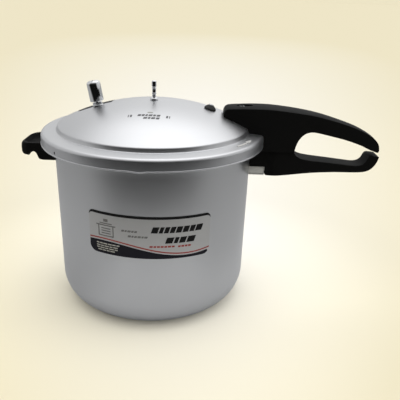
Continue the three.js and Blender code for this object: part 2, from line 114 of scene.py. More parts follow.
# %% Driving sizes
POT_R = 122.0          # wall under the rim, outside
DRAFT = 2.3            # how much narrower the wall is above the base corner
CORNER_R = 38.0
POT_WALL = 2.5
FLOOR_THICK = 4.5
RIM_R = 128.5
RIM_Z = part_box("pot_shell")[1].z / MM
LID_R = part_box("lid_shell")[1].x / MM
SKIRT_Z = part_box("lid_shell")[0].z / MM
APEX_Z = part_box("lid_shell")[1].z / MM
SHELF_Z = 223.2
DOME_R = 254.5
DOME_EDGE_R = 116.2
LID_WALL = 2.5
ROUND_STEPS = 192
for label, value in (("rim", RIM_Z), ("lid radius", LID_R), ("skirt", SKIRT_Z), ("apex", APEX_Z)):
    print(label, round(value, 1), "mm")

# %% [markdown]
# ## Helpers for materials
# A colour is picked as the eye sees it, in sRGB, and the shader wants it linear, so one function turns
# it. One more adds a node with its settings and its links, which keeps each material a short list.


# %% Colour and node helpers
def linear(hex_colour):
    """An sRGB hex colour as the linear RGBA that shaders use."""
    channels = [int(hex_colour[i:i + 2], 16) / 255 for i in (1, 3, 5)]
    return [c / 12.92 if c <= 0.04045 else ((c + 0.055) / 1.055) ** 2.4 for c in channels] + [1.0]


def add_node(tree, kind, inputs=None, **settings):
    """Adds a node. inputs maps a socket name or number to a value or to another node's output."""
    node = tree.nodes.new(kind)
    for name, value in settings.items():
        setattr(node, name, value)
    for key, value in (inputs or {}).items():
        if isinstance(value, bpy.types.NodeSocket):
            tree.links.new(value, node.inputs[key])
        else:
            node.inputs[key].default_value = value
    return node


def maths(tree, operation, first, second=0.0):
    return add_node(tree, "ShaderNodeMath", {0: first, 1: second}, operation=operation).outputs[0]


def new_material(name):
    """A node material with its shader and a place to read positions from."""
    material = bpy.data.materials.new(name)
    material.use_nodes = True
    tree = material.node_tree
    place = add_node(tree, "ShaderNodeTexCoord").outputs["Object"]
    print("material", name)
    return material, tree, tree.nodes["Principled BSDF"], place


def set_shader(shader, **values):
    """Constant values go straight on the shader's sockets, with _ for a space in the name."""
    for name, value in values.items():
        shader.inputs[name.replace("_", " ")].default_value = value


def noise(tree, place, size_mm, detail):
    """A noise whose cells are about size_mm across."""
    return add_node(tree, "ShaderNodeTexNoise",
                    {"Vector": place, "Scale": 1 / (size_mm * MM), "Detail": detail}).outputs["Fac"]


def uneven(tree, shader, fine, clouds, roughness, swing, relief, depth_mm):
    """Varies the roughness by a fine pattern and by clouds, and gives the fine one a little relief."""
    spread = add_node(tree, "ShaderNodeMapRange",
                      {"Value": maths(tree, "ADD", fine, clouds), "From Min": 0.6, "From Max": 1.4,
                       "To Min": roughness - swing, "To Max": roughness + swing})
    bump = add_node(tree, "ShaderNodeBump", {"Height": fine, "Strength": relief, "Distance": depth_mm * MM})
    tree.links.new(spread.outputs["Result"], shader.inputs["Roughness"])
    tree.links.new(bump.outputs[0], shader.inputs["Normal"])


# %% [markdown]
# ## Aluminium
# The pot and lid are sheet aluminium spun over a form and finished with a fine abrasive while turning.
# That leaves rings too fine to count, which stretch each highlight across them, so the shader is
# anisotropic about the axis. The rings are drawn 0.9 mm apart, coarser than real ones, so that they
# can show at all. A cloudy noise varies the roughness as handling and washing do.


# %% Spun aluminium
def spun_aluminium(name, colour, roughness, ring_mm, stretch):
    """Metal with rings round the Z axis, which stretch its highlights."""
    material, tree, shader, place = new_material(name)
    set_shader(shader, Base_Color=linear(colour), Metallic=1.0, Anisotropic=stretch)
    split = add_node(tree, "ShaderNodeSeparateXYZ", {0: place})
    flat = add_node(tree, "ShaderNodeCombineXYZ", {0: split.outputs["X"], 1: split.outputs["Y"]})
    radius = add_node(tree, "ShaderNodeVectorMath", {0: flat.outputs[0]}, operation="LENGTH")
    ring_place = add_node(tree, "ShaderNodeCombineXYZ", {0: radius.outputs["Value"], 1: split.outputs["Z"]})
    rings = noise(tree, ring_place.outputs[0], ring_mm, 3.0)
    uneven(tree, shader, rings, noise(tree, place, 35, 4.0), roughness, 0.03, 0.04, 0.006)
    tangent = add_node(tree, "ShaderNodeTangent", direction_type="RADIAL", axis="Z")
    tree.links.new(tangent.outputs[0], shader.inputs["Tangent"])
    return material


pot_aluminium = spun_aluminium("spun_aluminium_pot", "#CACBCC", 0.32, 0.9, 0.2)
lid_aluminium = spun_aluminium("spun_aluminium_lid", "#D0D1D3", 0.37, 0.9, 0.15)

# %% [markdown]
# The brackets, boss and rivets are cast or headed aluminium, tumbled to take the edges off. They are
# rougher and a little darker in the grain than spun sheet, with shallow pits about 0.6 mm across.


# %% Cast aluminium
def grainy(name, colour, metallic, roughness, grain_mm, depth_mm, swing=0.05):
    """A surface with an isotropic grain: cast, moulded or tumbled."""
    material, tree, shader, place = new_material(name)
    set_shader(shader, Base_Color=linear(colour), Metallic=metallic)
    grain = noise(tree, place, grain_mm, 4.0)
    uneven(tree, shader, grain, noise(tree, place, 18, 2.0), roughness, swing, 0.5, depth_mm)
    return material


cast_aluminium = grainy("cast_aluminium", "#CFCFCC", 0.75, 0.5, 0.6, 0.03)

# %% [markdown]
# The handles are phenolic, a hard heat-proof plastic pressed in a polished steel mould and dulled
# slightly by its filler. It is black right through. The filler gives a fine orange peel, and the
# reflection of a softbox spreads over a crowned top as a soft grey band.

# %% Phenolic, rubber, silicone, steel and chrome
phenolic = grainy("black_phenolic", "#080808", 0.0, 0.64, 0.9, 0.02, 0.04)
set_shader(phenolic.node_tree.nodes["Principled BSDF"], Specular_IOR_Level=0.09)
rubber = grainy("black_rubber", "#141413", 0.0, 0.62, 0.7, 0.04)
silicone = grainy("grey_silicone", "#8E8E88", 0.0, 0.5, 1.2, 0.02)
turned_steel = grainy("turned_steel", "#B4B5B6", 1.0, 0.26, 0.5, 0.01)
chrome = grainy("chrome_plate", "#E4E6E8", 1.0, 0.07, 1.5, 0.004, 0.02)

# %% [markdown]
# The label is printed self-adhesive foil: a satin silver ground with flat inks on it. A foil this thin
# still scatters light more evenly than the pot, which is why it reads lighter where the pot is dark.

# %% Foil and inks
foil = grainy("silver_label_foil", "#C4C4C3", 0.92, 0.42, 0.8, 0.005)
INK_COLOURS = {"black_ink": "#0C0C0D", "navy_ink": "#111119", "red_ink": "#7E3431", "grey_ink": "#5A5A5C",
               "white_ink": "#8E8E8C"}
inks = [grainy(name, colour, 0.0, 0.5, 0.8, 0.003) for name, colour in INK_COLOURS.items()]
for ink in inks:
    set_shader(ink.node_tree.nodes["Principled BSDF"], Specular_IOR_Level=0.15)
black_ink, navy_ink, red_ink, grey_ink, white_ink = inks
print("materials:", len(bpy.data.materials))

# %% [markdown]
# ## Helpers for shapes
# Round pieces are spun: a half profile goes once round the axis. Corners of a profile are rounded by
# small arcs, because a sharp corner on metal never catches the light as a real one does.


# %% Profile helpers
def arc(cx, cz, radius, start, end, steps):
    """Points on an arc, with angles in degrees."""
    turns = [math.radians(start + (end - start) * i / steps) for i in range(steps + 1)]
    return [(cx + radius * math.cos(t), cz + radius * math.sin(t)) for t in turns]


def eased(points, radius, steps=4):
    """A polyline with each inner corner rounded to the radius, or less where the sides are short."""
    out = [points[0]]
    for before, corner, after in zip(points, points[1:], points[2:]):
        p, c, n = Vector(before), Vector(corner), Vector(after)
        reach = min(radius, (p - c).length * 0.45, (n - c).length * 0.45)
        a, b = c + (p - c).normalized() * reach, c + (n - c).normalized() * reach
        for i in range(steps + 1):
            t = i / steps
            out.append(tuple(a * (1 - t) ** 2 + c * 2 * t * (1 - t) + b * t ** 2))
    return out + [points[-1]]


def closed_eased(points, radius, steps=4):
    """A closed outline with every corner rounded."""
    return eased([points[-1], *points, points[0]], radius, steps)[1:-1]


# %% [markdown]
# A piece is finished the same way every time: faces turned outwards, smooth shading with creases kept
# sharp, a material, and a body to ride on.


# %% Piece helpers
def as_mesh(name, bm):
    """A mesh made from a bmesh, which is freed."""
    mesh = bpy.data.meshes.new(name)
    bm.to_mesh(mesh)
    bm.free()
    return mesh


def make_piece(name, bm, body, material, replaces=(), crease=32):
    """A finished piece on its body."""
    mesh = as_mesh(name, bm)
    piece = show(name, mesh)
    mesh.materials.append(material)
    mesh.shade_smooth()
    mesh.set_sharp_from_angle(angle=math.radians(crease))
    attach(piece, body)
    if replaces:
        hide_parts(*replaces)
    print(name, len(mesh.polygons), "faces")
    return piece


def spun(profile, closed=False, steps=ROUND_STEPS, start=0.0, sweep=360.0):
    """A profile of (radius, height) in mm taken round the axis, from the start angle."""
    bm = bmesh.new()
    turn = Matrix.Rotation(math.radians(start), 3, "Z")
    line = [bm.verts.new(turn @ Vector((r, 0, z)) * MM) for r, z in profile]
    edges = [bm.edges.new(pair) for pair in zip(line, line[1:])]
    if closed:
        edges.append(bm.edges.new((line[-1], line[0])))
    full = sweep >= 360
    if not full:
        bm.faces.new(line)
    bmesh.ops.spin(bm, geom=bm.verts[:] + bm.edges[:] + bm.faces[:], cent=(0, 0, 0), axis=(0, 0, 1),
                   angle=math.radians(sweep), steps=steps, use_merge=full)
    bmesh.ops.remove_doubles(bm, verts=bm.verts, dist=1e-6)
    bmesh.ops.recalc_face_normals(bm, faces=bm.faces)
    return bm


def merged(parts):
    """Several bmeshes in one, for a piece made of like solids."""
    whole = bmesh.new()
    for part in parts:
        mesh = as_mesh("part", part)
        whole.from_mesh(mesh)
        bpy.data.meshes.remove(mesh)
    return whole


def cut(bm, *cutters):
    """The bmesh with each cutter taken away, by a Boolean modifier that is then applied."""
    blank = show("blank", as_mesh("blank", bm))
    tools = [show("tool", as_mesh("tool", cutter)) for cutter in cutters]
    for tool in tools:
        modifier = blank.modifiers.new("cut", "BOOLEAN")
        modifier.operation, modifier.solver, modifier.object = "DIFFERENCE", "EXACT", tool
    result = bpy.data.meshes.new_from_object(blank.evaluated_get(bpy.context.evaluated_depsgraph_get()))
    out = bmesh.new()
    out.from_mesh(result)
    for done in [blank, *tools]:
        bpy.data.meshes.remove(done.data)
    bpy.data.meshes.remove(result)
    bmesh.ops.remove_doubles(out, verts=out.verts, dist=1e-6)
    return out


def placed(bm, place):
    """The bmesh moved and turned by a matrix."""
    bmesh.ops.transform(bm, matrix=place, verts=bm.verts)
    return bm


def rod(radius, length, segments=24, top_radius=None):
    """A rod along Z about the origin, round or with few sides."""
    bm = bmesh.new()
    bmesh.ops.create_cone(bm, cap_ends=True, segments=segments, radius1=radius * MM,
                          radius2=(top_radius or radius) * MM, depth=length * MM)
    return bm


def bevel(bm, edges, width, segments):
    """Rounds the edges to a width in mm."""
    bmesh.ops.bevel(bm, geom=edges, offset=width * MM, offset_type="OFFSET", segments=segments, profile=0.5,
                    affect="EDGES", clamp_overlap=True, material=-1)


# %% [markdown]
# ## The pot
# One sheet of aluminium, spun deep. The wall opens slightly towards the top, the base corner is a large
# arc, and the rim turns out flat to carry the gasket. The inside is modelled too, since the wall is a
# real thickness and the lid can turn away from it.


# %% Pot shell
def pot_wall_r(z):
    """Outside radius of the wall at a height."""
    return POT_R - DRAFT * (1 - (z - CORNER_R) / (RIM_Z - CORNER_R))


corner_at = POT_R - DRAFT - CORNER_R
rim_under = RIM_Z - 3.2
inner_r = pot_wall_r(RIM_Z) - POT_WALL
outside = [(0, 0), (corner_at - 1, 0)] + arc(corner_at, CORNER_R, CORNER_R, -90, 0, 24)[1:]
wall = [(pot_wall_r(z), z) for z in (60, 90, 120, 150, 180)]
rim = eased([(pot_wall_r(195), 195), (pot_wall_r(rim_under), rim_under), (RIM_R, rim_under), (RIM_R, RIM_Z),
             (inner_r, RIM_Z), (inner_r, RIM_Z - 20)], 1.4)
inside_corner = arc(corner_at, CORNER_R, CORNER_R - POT_WALL, 0, -78, 16)
inside = [(x, max(z, FLOOR_THICK)) for x, z in inside_corner] + [(0, FLOOR_THICK)]
make_piece("pot_shell_spun", spun(outside + wall + rim + inside), "pot", pot_aluminium,
           ["pot_shell"])


def pot_solid(clearance):
    """The space that the pot fills, grown by a clearance, to cut seats for what is fixed to it."""
    wall_line = [(pot_wall_r(z) + clearance, z) for z in (CORNER_R, 120, RIM_Z)]
    return spun([(0, -1), (corner_at, -1)] + wall_line + [(0, RIM_Z)])


# %% [markdown]
# Six lugs stand out from the rim. The lid's lip turns under them, which is what holds it down.

# %% Bayonet lugs
LUGS = 6
LUG_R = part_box("pot_shell")[1].x / MM
LUG_ANGLE = 17.0
lug_low, lug_high = RIM_Z - 2.9, RIM_Z - 0.1
lug_in = RIM_R - 1
lug_corners = [(lug_in, lug_low), (LUG_R, lug_low), (LUG_R, lug_high), (lug_in, lug_high)]
lug_profile = closed_eased(lug_corners, 0.6, 2)
lug_starts = [360 / LUGS * i - LUG_ANGLE / 2 for i in range(LUGS)]
lugs = [spun(lug_profile, steps=10, start=start, sweep=LUG_ANGLE) for start in lug_starts]
make_piece("pot_lugs", merged(lugs), "pot", pot_aluminium)

# %% [markdown]
# ## The lid
# The dome is a shallow spherical cap. At its edge it drops through a short steep wall to a flat shelf,
# which rolls over into the skirt. The skirt ends in a small bead that stiffens the edge and shows as a
# bright line. The profile goes round once and closes on itself inside.


# %% Lid shell
def dome_z(r):
    """Height of the dome's outside at a radius."""
    return APEX_Z - DOME_R + math.sqrt(DOME_R ** 2 - r ** 2)


def dome_tilt(r):
    """How far the dome's surface leans at a radius, in degrees."""
    return math.degrees(math.asin(r / DOME_R))


SHOULDER_R = 2.6
STEP_R = 119.4
EDGE_R = 4.0
SHELF_FALL = 1.5
BEAD_R, BEAD_OUT = 0.9, 0.6


def shelf_z(r):
    """Height of the shelf, which falls slightly towards its edge."""
    return SHELF_Z - SHELF_FALL * (r - STEP_R) / (LID_R - EDGE_R - STEP_R)


def lid_outside(out=0.0):
    """The lid's outer line from the apex to the outer edge of the shelf, moved out by a clearance."""
    dome = [(r, dome_z(r) + out) for r in [DOME_EDGE_R * i / 24 for i in range(24)]]
    tilt = 90 - dome_tilt(DOME_EDGE_R)
    cx = DOME_EDGE_R - SHOULDER_R * math.cos(math.radians(tilt))
    cz = dome_z(DOME_EDGE_R) - SHOULDER_R * math.sin(math.radians(tilt))
    shoulder = arc(cx, cz, SHOULDER_R + out, tilt, 8, 8)
    foot = eased([shoulder[-1], (STEP_R - 0.4 + out, SHELF_Z + out), (130, shelf_z(130) + out)], 0.8, 5)[1:]
    edge = arc(LID_R - EDGE_R, SHELF_Z - EDGE_R - SHELF_FALL, EDGE_R + out, 84, 0, 8)
    return dome + shoulder + foot + edge


bead = arc(LID_R - BEAD_R + BEAD_OUT, SKIRT_Z + BEAD_R - 0.4, BEAD_R, 80, -90, 8)
skirt_in = LID_R - LID_WALL
lid_inside = [(skirt_in, SKIRT_Z), (skirt_in, SHELF_Z - 6.0), (skirt_in - 2.4, SHELF_Z - 3.5),
              (STEP_R - 0.4, SHELF_Z - 2.3), (STEP_R - LID_WALL - 0.8, SHELF_Z - 0.4)]
dome_inside = [(r, dome_z(r) - LID_WALL) for r in [(DOME_EDGE_R - 2) * (16 - i) / 16 for i in range(17)]]
skirt = [(LID_R, SKIRT_Z + 2.6), (LID_R, SKIRT_Z + 1.6)]
lid_blank = spun(lid_outside() + skirt + bead + eased(lid_inside, 0.8, 2) + dome_inside)
print("lid blank", len(lid_blank.faces), "faces")

# %% [markdown]
# A small hole near the foot of the skirt lets water drain after washing. It is cut with a round rod laid
# on its side. A pressed mark at the front of the bead shows where the lid starts to turn. It is only a
# dip, so the nearest points are moved down by a bell-shaped amount.

# %% Drain hole and pressed mark
DRAIN_AT, DRAIN_R = math.radians(-137.3), 1.5
drain_place = Matrix.Rotation(DRAIN_AT, 4, "Z") @ Matrix.Translation((LID_R * MM, 0, (SKIRT_Z + 4.4) * MM))
drain = placed(rod(DRAIN_R, 12), drain_place @ Matrix.Rotation(math.pi / 2, 4, "Y"))
lid_shell = cut(lid_blank, drain)
MARK_AT, MARK_WIDTH, MARK_DROP = math.radians(-91.4), math.radians(2.6), 1.0
for v in lid_shell.verts:
    if v.co.z < (SKIRT_Z + 2.4) * MM and v.co.xy.length > (skirt_in - 0.4) * MM:
        off = (math.atan2(v.co.y, v.co.x) - MARK_AT) / MARK_WIDTH
        v.co.z -= MARK_DROP * MM * math.exp(-off ** 4)
make_piece("lid_shell_spun", lid_shell, "lid", lid_aluminium, ["lid_shell"])

# %% [markdown]
# Inside the skirt a lip points inwards, cut away in six places so that the pot's lugs can pass. Between
# the notches it is six separate arcs.

# %% Bayonet lip
NOTCH_ANGLE = 21.0
lip_z = SKIRT_Z + 0.3
LIP_IN, LIP_THICK = 129.5, 2.2
lip_out = skirt_in + 0.8
lip_profile = closed_eased([(LIP_IN, lip_z), (lip_out, lip_z), (lip_out, lip_z + LIP_THICK),
                            (LIP_IN, lip_z + LIP_THICK)], 0.5, 2)
lip_sweep = 360 / LUGS - NOTCH_ANGLE
lip_starts = [-90 + NOTCH_ANGLE / 2 + 360 / LUGS * i for i in range(LUGS)]
lip = [spun(lip_profile, steps=16, start=start, sweep=lip_sweep) for start in lip_starts]
make_piece("lid_lip", merged(lip), "lid", lid_aluminium)

# %% [markdown]
# ## Handles
# A moulded handle is drawn from the side first. The slab cut to that outline is sliced across, so that
# its width can follow a curve, its rims are bevelled round, and its top is crowned. Last, the shape of
# the metal it sits on is cut away, which leaves a seat that fits.


# %% Handle helpers
def smooth_line(points, per_span=6):
    """A curve through given points, as a Catmull-Rom spline."""
    pts = [Vector(p) for p in points]
    out = []
    for i in range(len(pts) - 1):
        a, b, c, d = pts[max(i - 1, 0)], pts[i], pts[i + 1], pts[min(i + 2, len(pts) - 1)]
        for k in range(per_span):
            t = k / per_span
            out.append(tuple(0.5 * (2 * b + (c - a) * t + (2 * a - 5 * b + 4 * c - d) * t ** 2
                                    + (3 * b - a - 3 * c + d) * t ** 3)))
    return out + [tuple(pts[-1])]


def between(x, stops):
    """A smooth value along X from (x, value) stops."""
    if x <= stops[0][0]:
        return stops[0][1]
    for (x0, v0), (x1, v1) in zip(stops, stops[1:]):
        if x <= x1:
            t = (x - x0) / (x1 - x0)
            t = t * t * (3 - 2 * t)
            return v0 + (v1 - v0) * t
    return stops[-1][1]


def sliced_slab(outline, half_y, cuts_x, cuts_y):
    """A slab with a side outline (x, z), widened to both sides of Y and sliced ready for shaping."""
    bm = bmesh.new()
    first = bm.faces.new([bm.verts.new((x * MM, -half_y * MM, z * MM)) for x, z in outline])
    moved = bmesh.ops.extrude_face_region(bm, geom=[first])["geom"]
    far_side = [v for v in moved if isinstance(v, bmesh.types.BMVert)]
    bmesh.ops.translate(bm, verts=far_side, vec=(0, 2 * half_y * MM, 0))
    bmesh.ops.recalc_face_normals(bm, faces=bm.faces)
    for axis, places in ((Vector((1, 0, 0)), cuts_x), (Vector((0, 1, 0)), cuts_y)):
        for place in places:
            bmesh.ops.bisect_plane(bm, geom=bm.verts[:] + bm.edges[:] + bm.faces[:],
                                   plane_co=axis * place * MM, plane_no=axis, dist=1e-6)
    return bm


def round_rims(bm, radius, segments=5):
    """Bevels the edges where the slab's flat sides meet its rim."""
    rims = [e for e in bm.edges if len(e.link_faces) == 2
            and sorted(abs(f.normal.y) > 0.9 for f in e.link_faces) == [False, True]]
    bevel(bm, rims, radius, segments)
    bmesh.ops.remove_doubles(bm, verts=bm.verts, dist=1e-6)


def steps_between(start, end, step):
    """Places for cuts, one step apart, between two ends."""
    return [start + step * i for i in range(1, int((end - start) / step))]


def envelope(profile, bottom):
    """A solid of everything inside a turned outer line, down to a height."""
    return spun(profile + [(profile[-1][0], bottom), (0, bottom)])


def box_tool(low, high):
    """A block between two corners, in mm."""
    bm = bmesh.new()
    bmesh.ops.create_cube(bm, size=1.0)
    size, middle = Vector(high) - Vector(low), (Vector(high) + Vector(low)) / 2
    stretch = Matrix.Diagonal((*(size * MM), 1))
    return placed(bm, Matrix.Translation(middle * MM) @ stretch)


# %% [markdown]
# The upper handle is screwed to the lid. Its root fills the step between dome and skirt, and the grip
# arches out and down over the finger gap. The top is nearly flat with soft edges and gets narrower
# towards the tip.

# %% Upper handle
CLEAR = 0.3
near_end = [(86.0, 243.0)] + arc(93.3, 245.8, 7.2, 185, 95, 6)
top_line = smooth_line([(95, 253.2), (120, 254.3), (148, 253.9), (190, 249.1), (217, 243.3), (243.5, 235.3),
                        (260.0, 228.5), (273.0, 220.8), (280.2, 213.0), (282.4, 204.6)], 6)
tip = [(281.6, 202.2), (280.0, 201.8)]
under = smooth_line([(280.0, 201.8), (270, 205.4), (257, 211.6), (240, 217.4), (222, 222.2), (204, 226.4),
                     (194, 227.4), (186, 224.6), (180, 218.0), (176.4, 209.0), (175, 201.0)], 5)[1:]
seat = [(119, 201.0), (98, 225)]
upper_outline = near_end + top_line[1:] + tip + under + seat
UPPER_HALF = 20
upper = sliced_slab(upper_outline, UPPER_HALF, steps_between(86, 285, 4), [-13, -6.5, 0, 6.5, 13])
round_rims(upper, 4.8, 7)
UPPER_WIDTH = [(85, 15.2), (100, 17.6), (130, 19.3), (165, 19.4), (205, 17.0), (245, 13.6), (283, 9.8)]
CROWN = 1.3
for v in upper.verts:
    x, z = v.co.x / MM, v.co.z / MM
    share = v.co.y / MM / UPPER_HALF
    height = max(0.0, min(1.0, (z - 205) / 35))
    v.co.z -= CROWN * share ** 2 * height * MM
    v.co.y *= between(x, UPPER_WIDTH) / UPPER_HALF
GAP = Vector((CLEAR, CLEAR, CLEAR))
lid_space = envelope(lid_outside(CLEAR), 190)
strap_low, strap_high = (Vector(corner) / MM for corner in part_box("lid_handle_bracket"))
strap_pocket = box_tool(strap_low - Vector((8, CLEAR, CLEAR)), strap_high + GAP)
print("upper handle blank", len(upper.faces), "faces")

# %% [markdown]
# An oval recess near the root gives the screw's head a seat, with a small round hole beside it to hang the
# lid by. The oval is a round tool stretched along X, with its walls drawn in slightly, so that the real
# piece would leave its mould.

# %% Screw recess and hang hole
RECESS_X, RECESS_Z, RECESS_DEEP, RECESS_STRETCH = 111.8, 251.3, 8.0, 1.92
HANG_X, HANG_R = 120.0, 2.3
recess_place = Matrix.Translation(Vector((RECESS_X, 0, RECESS_Z + RECESS_DEEP / 2)) * MM)
recess = placed(rod(5.2, RECESS_DEEP, 48, 6.0), recess_place @ Matrix.Diagonal((RECESS_STRETCH, 1, 1, 1)))
hang_hole = placed(rod(HANG_R, 20), Matrix.Translation((HANG_X * MM, 0, 254 * MM)))
lid_handle = cut(upper, lid_space, strap_pocket, recess, hang_hole)
make_piece("lid_handle_moulded", lid_handle, "lid", phenolic, ["lid_handle"], crease=38)

# %% [markdown]
# The lower handle is screwed to the pot's bracket. When the lid is locked the two halves meet along a
# flat parting line, and the fingers go between them. It ends in a hook that keeps the hand from sliding
# off.

# %% Lower handle
HEEL_X = 140.9
root = [(118, 200.5), (118, 179.4), (HEEL_X, 179.4)]
heel = smooth_line([(HEEL_X, 179.4), (HEEL_X, 170.8), (141.7, 169.0), (145.0, 168.4), (166.5, 170.2),
                    (197, 174), (230, 175.9), (256, 176.2), (268, 177.6), (275.5, 182.0), (280.5, 189.5),
                    (282.6, 196.8)], 5)[1:]
hook = smooth_line([(282.6, 196.8), (277, 197.6), (271.6, 197.6), (268.8, 194.6), (266.6, 189.8),
                    (262.4, 186.0), (256.0, 184.6), (248.0, 185.0), (222, 187.6), (195, 190.1), (184, 192.6),
                    (178, 196.2), (175.3, 200.5)], 5)[1:]
LOWER_HALF = 16
lower = sliced_slab(root + heel + hook, LOWER_HALF, steps_between(118, 282, 4), [-10, -5, 0, 5, 10])
round_rims(lower, 3.6)
LOWER_WIDTH = [(118, 11.2), (139, 11.6), (155, 15.6), (185, 15.0), (230, 13.6), (282, 12.2)]
for v in lower.verts:
    v.co.y *= between(v.co.x / MM, LOWER_WIDTH) / LOWER_HALF
bar_low, bar_high = (Vector(c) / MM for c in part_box("pot_bracket"))
BAR_END, TONGUE_Z = HEEL_X - CLEAR, 174.0
tongue_pocket = box_tool(Vector((110, bar_low.y, TONGUE_Z)) - GAP, bar_high + GAP)
bar_pocket = box_tool(Vector((110, bar_low.y, 165)) - GAP, Vector((BAR_END, bar_high.y, bar_high.z)) + GAP)
pot_handle = cut(lower, pot_solid(CLEAR), tongue_pocket, bar_pocket)
make_piece("pot_handle_moulded", pot_handle, "pot", phenolic, ["pot_handle"], crease=38)

# %% [markdown]
# The bracket is a cast bar riveted to the pot's wall. Only the short length between wall and handle
# shows. Its edges are broken by the tumbling, and a ledge runs along the foot of each side.

# %% Long-handle bracket
LEDGE, BAR_FOOT = 1.7, bar_low.z - 1.2
bar_line = closed_eased([(112, BAR_FOOT), (BAR_END, BAR_FOOT), (BAR_END, TONGUE_Z), (bar_high.x, TONGUE_Z),
                         (bar_high.x, bar_high.z), (112, bar_high.z)], 0.6, 3)
bracket = sliced_slab(bar_line, bar_high.y, [], [])
round_rims(bracket, 0.6, 3)
make_piece("pot_bracket_cast", cut(bracket, pot_solid(0.1)), "pot", cast_aluminium,
           ["pot_bracket"])
ledge_end = BAR_END - 0.3
ledge_line = closed_eased([(119, BAR_FOOT), (ledge_end, BAR_FOOT), (ledge_end, BAR_FOOT + LEDGE),
                           (119, BAR_FOOT + LEDGE)], 0.5, 2)
ledge = sliced_slab(ledge_line, bar_high.y + 0.9, [], [])
round_rims(ledge, 0.4, 2)
make_piece("pot_bracket_ledge", cut(ledge, pot_solid(0.1)), "pot", cast_aluminium)

# %% [markdown]
# The helper handle is a short wide grip for the other hand. From the side it is a lip with a finger
# scoop under it. In plan its outer edge is a flat curve with round ends. The top is dished, which leaves
# a raised rim.

# %% Helper handle
HELPER_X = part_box("helper_handle")[0].x / MM
HELPER_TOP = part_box("helper_handle")[1].z / MM
HELPER_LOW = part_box("helper_handle")[0].z / MM
HELPER_HALF = 27.5
scoop = smooth_line([(-134, HELPER_LOW), (-138.6, 184.6), (-141.4, 188.6), (-144.6, 192.6), (-149.6, 194.0),
                     (-154.6, 192.4), (-158.0, 189.8), (-161.6, 189.6), (HELPER_X, 192.0)], 5)
lip_edge = smooth_line([(HELPER_X, 192.0), (HELPER_X, 199.6), (HELPER_X + 1.2, 203.4),
                        (HELPER_X + 4, HELPER_TOP)], 4)[1:]
helper_outline = [(-114, HELPER_LOW)] + scoop + lip_edge + [(-114, HELPER_TOP)]
helper = sliced_slab(helper_outline, HELPER_HALF, steps_between(-163, -114, 1.6), steps_between(-27, 27, 2))
round_rims(helper, 3.0, 4)
BEND_X, SQUARENESS = -140.0, 4.2
DISH_X, DISH_LONG, DISH_WIDE, DISH_DEEP = -143.5, 16.5, 23.5, 5.5
for v in helper.verts:
    x, y, z = v.co / MM
    share = min(abs(y) / HELPER_HALF, 1.0) * 0.975
    if x < BEND_X:
        v.co.x = (BEND_X + (x - BEND_X) * (1 - share ** SQUARENESS) ** (1 / SQUARENESS)) * MM
    depth = 1 - min(1.0, abs((x - DISH_X) / DISH_LONG) ** 4 + abs(y / DISH_WIDE) ** 4)
    if z > HELPER_TOP - 1.0:
        v.co.z -= DISH_DEEP * min(1.0, depth * 2.0) * MM
make_piece("helper_handle_moulded", cut(helper, pot_solid(CLEAR)), "pot", phenolic,
           ["helper_handle"], crease=38)

# %% [markdown]
# ## Valves
# Each valve is a stack of small turned pieces on its own axis. They are spun at the origin, then stood
# on the dome where the frame has them.


# %% Valve helpers
def on_dome(x, tilt):
    """The place of a valve on the dome, leaning by tilt degrees towards +X."""
    foot = Vector((x, 0, dome_z(abs(x)))) * MM
    return Matrix.Translation(foot) @ Matrix.Rotation(math.radians(tilt), 4, "Y")


def hexagon(corner_r, low, high, ease=0.5):
    """A hexagon nut blank with its corners turned off."""
    bm = placed(rod(corner_r, high - low, 6), Matrix.Translation((0, 0, (low + high) / 2 * MM)))
    bevel(bm, bm.edges[:], ease, 3)
    return bm


VENT = on_dome(-69.3, -10)
PLUG_X = 69.0
PLUG = on_dome(PLUG_X, dome_tilt(PLUG_X))
print("vent foot at", [round(c, 4) for c in VENT.translation])

# %% [markdown]
# The weight is a heavy chromed cap that sits on the vent pipe and rocks when steam lifts it. It is
# smooth-sided with round shoulders and a shallow slot over the top. Underneath it is bored to drop over
# the pipe.

# %% Weight
WEIGHT_R, WEIGHT_LOW, WEIGHT_HIGH, WEIGHT_TURN = 8.3, 6.3, 31.0, 4.0
BORE_R, BORE_TOP = 4.7, 25
skirt_line = eased([(BORE_R, BORE_TOP), (BORE_R, WEIGHT_LOW), (WEIGHT_R, WEIGHT_LOW),
                    (WEIGHT_R, WEIGHT_HIGH - WEIGHT_TURN - 0.1)], 0.7)
crown = arc(WEIGHT_R - WEIGHT_TURN, WEIGHT_HIGH - WEIGHT_TURN, WEIGHT_TURN, 3, 90, 12)
weight = spun([(0, BORE_TOP)] + skirt_line + crown + [(0, WEIGHT_HIGH)], steps=96)
slot_tool = box_tool((-1.1, -12, WEIGHT_HIGH - 1.6), (1.1, 12, WEIGHT_HIGH + 3))
make_piece("weight_cap", placed(cut(weight, slot_tool), VENT), "weight", chrome, ["weight_body"])

# %% [markdown]
# The vent pipe is screwed through the dome. It is turned from bar with a flange and a hexagon for the
# spanner, and it is bored right through. A soft washer under the flange seals it.

